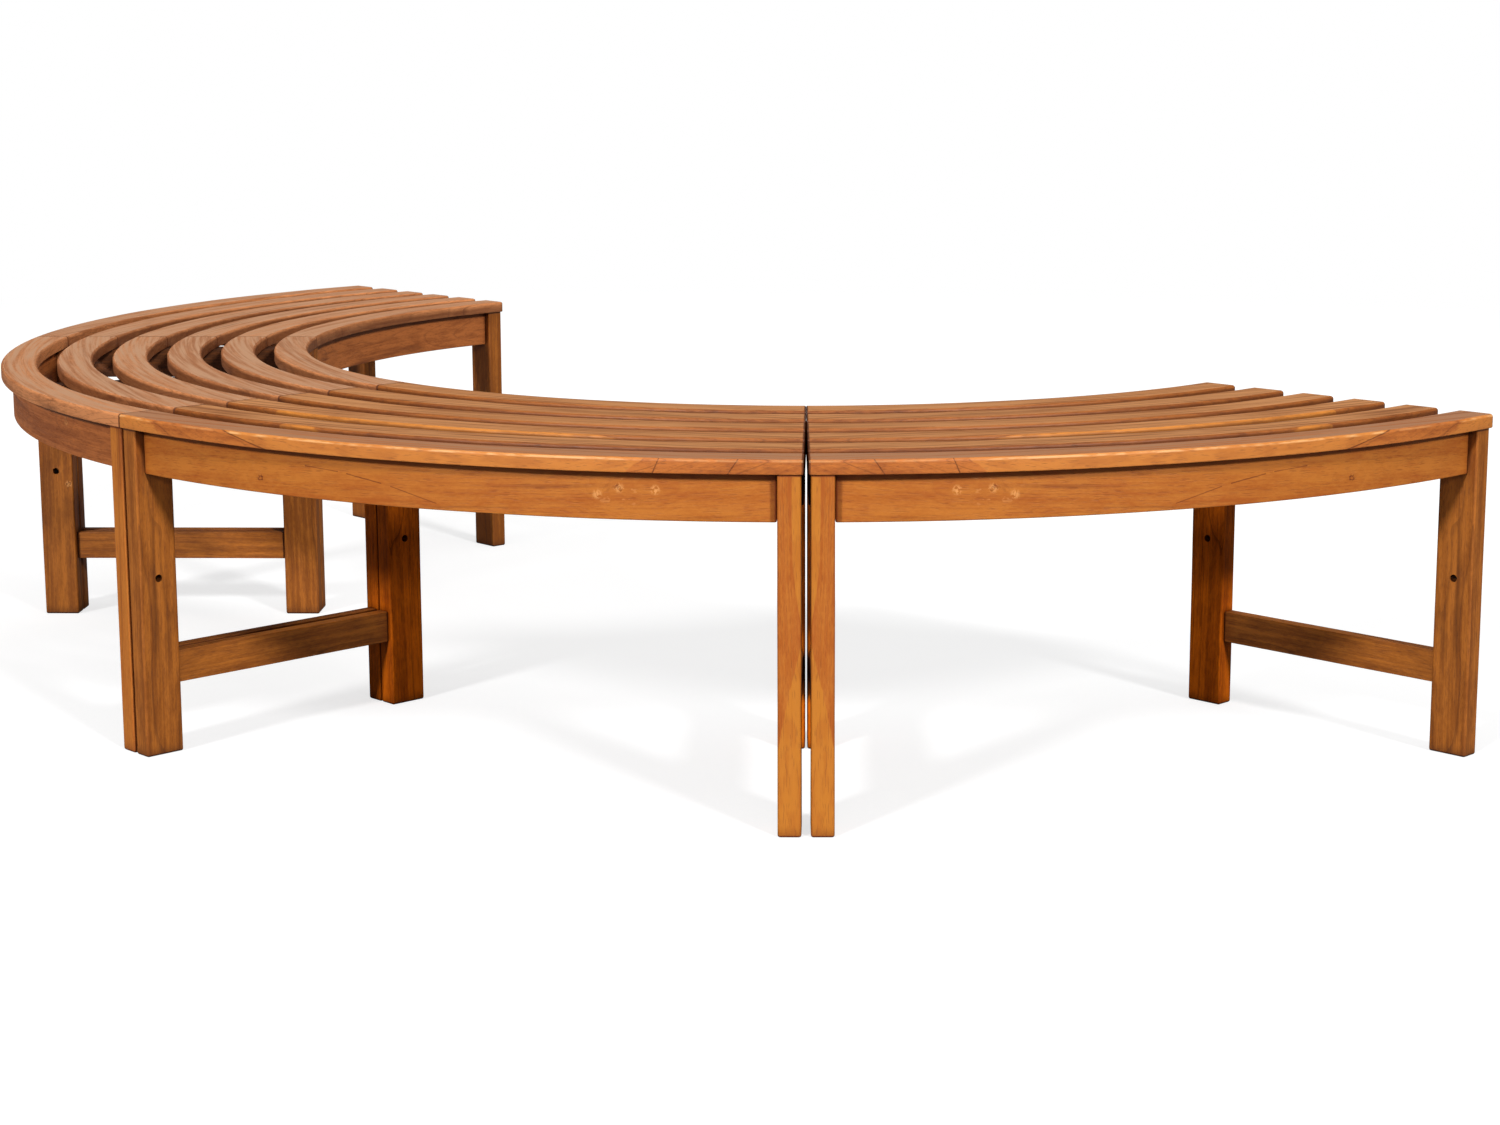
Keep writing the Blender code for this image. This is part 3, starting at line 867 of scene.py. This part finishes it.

# %% [markdown]
# Finishes. Oiled teak is a satin surface, neither raw nor varnished, so its roughness stays near
# one half and it has no coat. The boards of one bench come from many trees: the photograph shows
# golden aprons in front, redder slats on the left and dark stretchers and inner legs. The seat's
# tops are worn and carry a painted sheen, its slats have painted shade on their sides and the outer
# one a painted highlight on its rim, and the frame has none of this, so each finish also says how
# much of it it shows. The darkest finish is painted shade, for the end rails and bearers that stand
# in shade under the seat of sections 3 and 4. Single colours for slats, aprons and legs would be
# simpler, but would look like painted wood.

# %% Finishes
TEAK_COLOURS = {
    #                 pale             deep             line             sapwood          worn top with sheen
    "golden": ((202, 120, 42), (178, 92, 24), (118, 50, 12), (203, 124, 38), (210, 152, 107)),
    "amber": ((206, 119, 50), (172, 92, 37), (92, 42, 15), (216, 133, 57), (186, 131, 92)),
    "honey": ((170, 97, 38), (138, 73, 25), (82, 40, 14), (216, 134, 52), (216, 150, 93)),
    "russet": ((220, 143, 88), (176, 106, 58), (94, 46, 20), (210, 138, 66), (209, 157, 118)),
    "auburn": ((194, 112, 54), (156, 84, 36), (88, 38, 14), (204, 124, 48), (210, 152, 107)),
    "brown": ((190, 111, 37), (146, 79, 19), (76, 34, 8), (200, 120, 40), (210, 152, 107)),
    "umber": ((212, 104, 14), (156, 70, 9), (66, 22, 1), (190, 100, 24), (210, 152, 107)),
    # The darkest finish is painted shade: a darker copy of the teak for pieces that stand in shade under the
    # seat.
    "dusky_shade": ((118, 66, 28), (84, 44, 15), (46, 20, 6), (130, 76, 32), (140, 96, 60)),
}
SHARES = {  # the usual share, and the finishes that have another
    "Line Strength": (0.55, {"golden": 0.30, "auburn": 0.30}),
    "Streaks": (1.0, {"golden": 0.35, "amber": 0.7}),
    "Top Wear And Sheen": (0.0, {"amber": 0.95, "honey": 0.62, "russet": 0.64}),
    "Side Shade": (0.0, {"honey": 0.62, "russet": 0.60}),
    "Painted Rim Highlight": (0.0, {"amber": 0.75}),
}
BUMP_DEPTH, BUMP_STRENGTH = 0.0003, 0.5
OILED_SHINE, DRY_SHINE = 0.40, 0.06


def teak_finish(name, colours):
    material = bpy.data.materials.new(f"teak_{name}")
    material.use_nodes = True
    tree = material.node_tree
    shader = tree.nodes["Principled BSDF"]
    shader.inputs["Specular IOR Level"].default_value = DRY_SHINE if name == "umber" else OILED_SHINE
    log = add_node(tree, "ShaderNodeGroup", node_tree=TEAK_LOG)
    for label, colour in zip(LOG_COLOURS, colours):
        log.inputs[label].default_value = srgb(*colour)
    for label, (usual, others) in SHARES.items():
        log.inputs[label].default_value = others.get(name, usual)
    tree.links.new(log.outputs["Colour"], shader.inputs["Base Color"])
    tree.links.new(log.outputs["Roughness"], shader.inputs["Roughness"])
    bump = add_node(tree, "ShaderNodeBump", {"Height": log.outputs["Height"], "Strength": BUMP_STRENGTH,
                                             "Distance": BUMP_DEPTH})
    tree.links.new(bump.outputs["Normal"], shader.inputs["Normal"])
    return material


TEAK = {name: teak_finish(name, colours) for name, colours in TEAK_COLOURS.items()}
print("finishes:", ", ".join(TEAK))

# %% [markdown]
# Sapwood is the pale outer wood of the tree, and the photograph shows it on a few edges: a long
# golden tongue on the front of the outer slat, stripes on the next two slats, and slim lens shapes
# on the legs at the open seam. The rings alone would put it somewhere else, so it is drawn as a
# distance: inside the sapwood the value is positive. The points of the mesh hold the values, and
# the material blends the colours across the edge. The table gives the section and the piece.

# %% Sapwood
TONGUE_LEFT = (-0.2395, -4.06, 4.2)  # run at half height, slope, and softness of its edge
TONGUE_RIGHT = (0.293, 1.22, 1.58)
FAR_LEFT_PATCH = (-0.405, -3.0, 20.0)
TONGUE_ROUNDING = 0.0045
STRIPE_STEEP_END, STRIPE_SLIM_END = (0.01, -0.01), (0.05, -0.002)
LEG_LENS = ((0.0, 0.094, 0.1415, 0.19, 0.233, 0.245, 0.257, 0.285, 0.33, 0.43),
            (-0.020, -0.015, -0.008, 0.003, 0.0135, 0.0155, 0.0135, 0.008, 0.0035, 0.003))
LENS_DEPTH, LENS_SLOPE = 0.008, 0.5


def past_line(run, rise, at, slope, softness):
    """How far each point lies to the right of a slanting line on a board's face."""
    return (run - at - slope * rise) / softness


def slat_tongue(run, across, rise):
    """The outer slat's front edge: a slanting end on the left and a steeper one on the right."""
    tongue = np.minimum(past_line(run, rise, *TONGUE_LEFT), -past_line(run, rise, *TONGUE_RIGHT))
    drawn = np.maximum(tongue, -past_line(run, rise, *FAR_LEFT_PATCH))
    return np.minimum(drawn, across - across.max() + TONGUE_ROUNDING)


def slat_stripe(left, right, left_depth, right_depth):
    """A stripe along a slat's front edge, with a steep left end and a slim right one."""
    steep, slim = STRIPE_STEEP_END, STRIPE_SLIM_END
    ends = (left - steep[0], left + steep[0], right, right + slim[0])
    depths = (steep[1], left_depth, right_depth, slim[1])
    return lambda run, across, rise: across - across.max() + np.interp(run, ends, depths)


def leg_lens(run, across, rise):
    """Two lens shapes on the narrow face, beside the seam, and the corner behind them."""
    behind_the_face = rise + LEG_WIDTH / 2
    return across - np.interp(run, *LEG_LENS) - LENS_SLOPE * np.maximum(behind_the_face - LENS_DEPTH, 0)


SAPWOOD = {
    (2, "slat_1"): slat_tongue,
    (2, "slat_2"): slat_stripe(-0.245, -0.20, 0.0045, 0.0035),
    (2, "slat_3"): slat_stripe(-0.322, 0.16, 0.0065, 0.0030),
    (2, "right_outer_leg"): leg_lens,
}
print("pieces with sapwood:", len(SAPWOOD))

# %% [markdown]
# Checks are fine dark cracks that open as wood dries: a crooked one on the front apron and three
# that cross the front edge of the outer slat. They could be cut into the mesh, but they are
# thinner than a sheet of paper, so each is drawn as a distance too, and lies where its value
# passes through zero.

# %% Checks
FAR = 1.0
MOST_CHECKS = 3


def check_along(start, end):
    """A fine check from one point to another of a board's face, as pairs of run and rise."""
    slope = (end[1] - start[1]) / (end[0] - start[0])

    def drawn(run, across, rise):
        height = rise - start[1] - slope * (run - start[0])
        return np.where((run < start[0]) | (run > end[0]), FAR, height)
    return drawn


def check_across(run_low, run_high, rise_low, rise_high):
    """A check that crosses a slat's whole front edge, from the top arris to the bottom one."""
    slope = (run_high - run_low) / (rise_high - rise_low)

    def drawn(run, across, rise):
        gap = run - run_low - slope * (rise - rise_low)
        return np.where(across < across.max() - TOP_ROUND, FAR, gap / math.hypot(1, slope))
    return drawn


CHECKS = {
    (2, "outer_apron"): (check_along((-0.152, 0.0113), (-0.097, 0.0078)),
                         check_along((-0.097, 0.0078), (-0.030, -0.0030)),
                         check_along((-0.030, -0.0030), (0.040, -0.0215))),
    (2, "slat_1"): (check_across(-0.2120, -0.2770, -0.0070, 0.0090),
                    check_across(0.3158, 0.3212, -0.0055, 0.0070),
                    check_across(0.4029, 0.4122, -0.0070, 0.0065)),
}
print("pieces with checks:", len(CHECKS))

# %% [markdown]
# Marks. Besides its place in the log, a board stores its sapwood and checks, its tone, how far
# each point is from the nearer end, and how far below the top, which sets the painted shade on the
# sides and the painted highlight on the rim. These could be masks painted on each face, but values
# at the points cross every edge without a seam. A board without painted shade on its sides stores
# a depth of zero everywhere.

# %% Store the marks of a board
# Slats whose sides get painted shade; the outer slat also gets a painted highlight on its rim.
SHADED_SIDES_AND_RIMS = {(section, f"slat_{n}"): 1.0 for section in (2, 3, 4) for n in range(2, SLAT_COUNT + 1)}
SHADED_SIDES_AND_RIMS.update({(2, "slat_1"): 1.0, (4, "slat_6"): 0.5})  # 0.5 takes twice the depth to reach full painted shade


def mark_board(mesh, piece, tone, run, across, rise):
    """Store a board's sapwood, checks, tone, and distances from its nearer end and its top."""
    everywhere = np.ones(len(run))
    checks = [check(run, across, rise) for check in CHECKS.get(piece, ())]
    checks += [FAR * everywhere] * (MOST_CHECKS - len(checks))
    store(mesh, "checks", np.stack(checks, 1))
    store(mesh, "sapwood", SAPWOOD[piece](run, across, rise) if piece in SAPWOOD else -FAR * everywhere)
    store(mesh, "tone", tone * everywhere)
    store(mesh, "end", np.minimum(run - run.min(), run.max() - run))
    store(mesh, "below_top", (rise.max() - rise) * SHADED_SIDES_AND_RIMS.get(piece, 0.0))


# These slats take the painted shade on their sides.
print("slats with worn or dirty sides:", len(SHADED_SIDES_AND_RIMS))

# %% [markdown]
# Choosing the boards. The joiner puts the best boards where they are seen. The first table gives
# each kind of piece a finish, and the others name the pieces that differ, how deep their colour is
# and how they were cut from the log, where the photograph shows their figure. The right-hand
# section is the mirror image of the next one, so it gets the same boards turned over.

# %% Board list
FINISHES = {
    2: {"slat": "honey", "apron": "golden", "outer_leg": "brown", "inner_leg": "umber",
        "end_rail": "umber", "stretcher": "brown", "bearer": "umber"},
    # The end rails and bearers of sections 3 and 4 take the darkest finish, which is painted shade.
    3: {"slat": "russet", "apron": "russet", "outer_leg": "brown", "inner_leg": "brown",
        "end_rail": "dusky_shade", "stretcher": "brown", "bearer": "dusky_shade"},
    4: {"slat": "russet", "apron": "auburn", "outer_leg": "brown", "inner_leg": "brown",
        "end_rail": "dusky_shade", "stretcher": "brown", "bearer": "dusky_shade"},
}
SPECIAL_FINISHES = {
    (2, "slat_1"): "amber",
    (3, "outer_apron"): "auburn",
    (3, "right_inner_leg"): "umber",
    (2, "right_outer_leg"): "golden",
    (3, "right_outer_leg"): "golden",
}
TONES = {  # how deep a board's colour lies between its finish's pale and deep
    (2, "slat_1"): 0.30, (2, "outer_apron"): 0.35, (2, "right_outer_leg"): 0.75,
    (2, "left_stretcher"): 0.45, (2, "right_stretcher"): 0.45,
    (3, "slat_1"): 0.05, (3, "outer_apron"): 0.40, (3, "right_outer_leg"): 0.0,
    (3, "left_inner_leg"): 0.95, (3, "right_inner_leg"): 0.30,
    (3, "left_stretcher"): 0.7, (3, "right_stretcher"): 0.7,
    (4, "slat_5"): 0.10, (4, "inner_apron"): 0.10, (4, "left_inner_leg"): 0.95, (4, "left_outer_leg"): 1.0,
}
SPECIAL_CUTS = {  # the pith's place, the start along the log, the tilt and how far the grain follows
    (2, "slat_1"): {"pith": (-0.090, -0.030), "start": 7.3, "tilt": (0.0, 0.0), "follow": 0.5},
    (2, "outer_apron"): {"pith": (-0.085, 0.0004), "start": 0.224, "tilt": (0.0, -0.045), "follow": 0.97},
    (3, "outer_apron"): {"pith": (-0.075, 0.0153), "start": 0.709, "tilt": (0.0, 0.0), "follow": 1.0},
    (3, "left_outer_leg"): {"pith": (-0.060, 0.020), "start": 0.786, "tilt": (0.0, 0.0)},
}
print("pieces with a finish of their own:", len(SPECIAL_FINISHES), "cuts given by hand:", len(SPECIAL_CUTS))

# %% [markdown]
# The other boards are cut as they come from the saw. Each could have the same cut, but a real
# bench never shows the same figure twice, so they are drawn by lot, from a fixed seed that gives
# the same bench each time.

# %% Cuts drawn by lot
FIRST_SEED = 11000
TONE_RANGE = (0.22, 0.58)
PITH_REACH, PITH_ANGLE = (0.06, 0.125), (-0.6, 0.6)
LOG_START = (2.0, 40.0)
TILT_RANGE = (-0.02, 0.02)
FOLLOW_RANGE = (0.35, 0.75)


def cut_by_lot(rng, along):
    """A pith 60 to 125 mm away, mostly beside the board, which gives a quiet, streaky face."""
    angle = rng.uniform(*PITH_ANGLE) + rng.choice((0, math.pi))
    reach = rng.uniform(*PITH_REACH)
    cut = {"pith": (reach * math.cos(angle), reach * math.sin(angle)), "start": rng.uniform(*LOG_START),
           "tilt": (rng.uniform(*TILT_RANGE), rng.uniform(*TILT_RANGE))}
    if along == "arc":
        cut["follow"] = rng.uniform(*FOLLOW_RANGE)
    return cut


print("a cut:", cut_by_lot(random.Random(FIRST_SEED), "arc"))

# %% [markdown]
# One kit serves every section: six slats, two aprons, a bearer, and two end frames of two legs, an
# end rail and a stretcher each. Each piece could be placed by itself, but the two end frames are
# equal, so a side and an offset from the seam are enough.

# %% Kit of one section
ARC_PIECES = [(f"slat_{n}", "slat", lambda n=n: slat_board(n)) for n in range(1, SLAT_COUNT + 1)]
ARC_PIECES += [("outer_apron", "apron", lambda: apron_board(*OUTER_APRON, OUTER_APRON_END)),
               ("inner_apron", "apron", lambda: apron_board(*INNER_APRON, INNER_APRON_END))]
RAIL_MIDDLE, STRETCHER_MIDDLE = sum(RAIL_SPAN) / 2, sum(LEG_SPAN) / 2
END_PIECES = [
    ("outer_leg", "leg", lambda: drilled(leg_board()), OUTER_LEG_RADIUS, OUTER_LEG_OFFSET),
    ("inner_leg", "leg", lambda: drilled(leg_board()), INNER_LEG_RADIUS, INNER_LEG_OFFSET),
    ("end_rail", "cross", end_rail_board, RAIL_MIDDLE, RAIL_OFFSET),
    ("stretcher", "cross", stretcher_board, STRETCHER_MIDDLE, STRETCHER_OFFSET),
]
SIDES = {"left": -1, "right": 1}


def kit_of_section():
    """Every piece of a section: its name, its kind, its axis in the log, its board and its place."""
    kit = [(name, kind, "arc", make, Matrix.Identity(4)) for name, kind, make in ARC_PIECES]
    kit.append(("middle_bearer", "bearer", "cross", bearer_board,
                Matrix.Translation((0, -sum(BEARER_SPAN) / 2, 0))))
    for end, side in SIDES.items():
        for name, along, make, radius, offset in END_PIECES:
            kit.append((f"{end}_{name}", name, along, make, end_frame_place(side, radius, offset)))
    return kit


def node_of(section, name):
    """The CAD node that a piece stands for: an end rail is part of its inner leg's node."""
    return f"section_{section}_{name}".replace("end_rail", "inner_leg")


def mirror_name(name):
    swap = {"left": "right", "right": "left"}
    end, _, rest = name.partition("_")
    return f"{swap[end]}_{rest}" if end in swap else name


KIT = kit_of_section()
print("pieces in a section:", len(KIT))

# %% [markdown]
# Now a board is made: its shape, the work of the hand, its cut and marks, and its finish. A
# mirrored board is a copy with X reversed: its place in the log goes with it, so the figure is
# mirrored too, and its faces are turned right side out again. A mirror modifier would do that as
# well, but a plain mesh is easier to check.

# %% Make one board
SHARP_ANGLE = math.radians(40)


def board_mesh(section, name, kind, along, make, seed):
    bm = make()
    work_by_hand(bm, seed)
    bmesh.ops.recalc_face_normals(bm, faces=bm.faces)
    mesh = bpy.data.meshes.new(f"board_{section}_{name}")
    bm.to_mesh(mesh)
    bm.free()
    mesh.shade_smooth()
    mesh.set_sharp_from_angle(angle=SHARP_ANGLE)
    rng = random.Random(FIRST_SEED + seed)
    cut = {**cut_by_lot(rng, along), **SPECIAL_CUTS.get((section, name), {})}
    place_in_log(mesh, along, **cut)
    tone = TONES.get((section, name), rng.uniform(*TONE_RANGE))
    mark_board(mesh, (section, name), tone, *board_measures(mesh, along))
    finish = SPECIAL_FINISHES.get((section, name), FINISHES[section][kind])
    mesh.materials.append(TEAK[finish])
    return mesh


def mirrored(mesh):
    copy = mesh.copy()
    copy.transform(Matrix.Scale(-1, 4, (1, 0, 0)))
    copy.flip_normals()
    return copy


print("sharp edges from", round(math.degrees(SHARP_ANGLE)), "degrees")

# %% [markdown]
# The bench is put together section by section. Every piece rides on the bench's one rigid body
# and takes the place of its CAD node. The weighted normals keep the flat faces flat next to their
# rounded edges, which a denser mesh could do too, but with many more faces.

# %% Build the bench
def put_in_place(section, name, mesh, place):
    mesh.transform(section_place(section - 1) @ place)
    piece = bpy.data.objects.new(f"teak_{section}_{name}", mesh)
    bpy.context.scene.collection.objects.link(piece)
    normals = piece.modifiers.new("flat_faces", "WEIGHTED_NORMAL")
    normals.keep_sharp = True
    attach(piece, "root")
    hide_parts(node_of(section, name))


places = {name: place for name, kind, along, make, place in KIT}
seed = 0
for section in (2, 3, 4):
    for name, kind, along, make, place in KIT:
        seed += 1
        mesh = board_mesh(section, name, kind, along, make, seed)
        if section == 2:
            other = mirror_name(name)
            put_in_place(1, other, mirrored(mesh), places[other])
        put_in_place(section, name, mesh, place)

# %% [markdown]
# Rounding and unevenness must not change the bench's size. The box of the dressed bench is written
# beside the box of the CAD model, so that the two can be compared.

# %% Write the sizes
for title, box in (("CAD model", cad_box), ("dressed bench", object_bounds())):
    print(title, [round(high - low, 4) for low, high in zip(*box)])
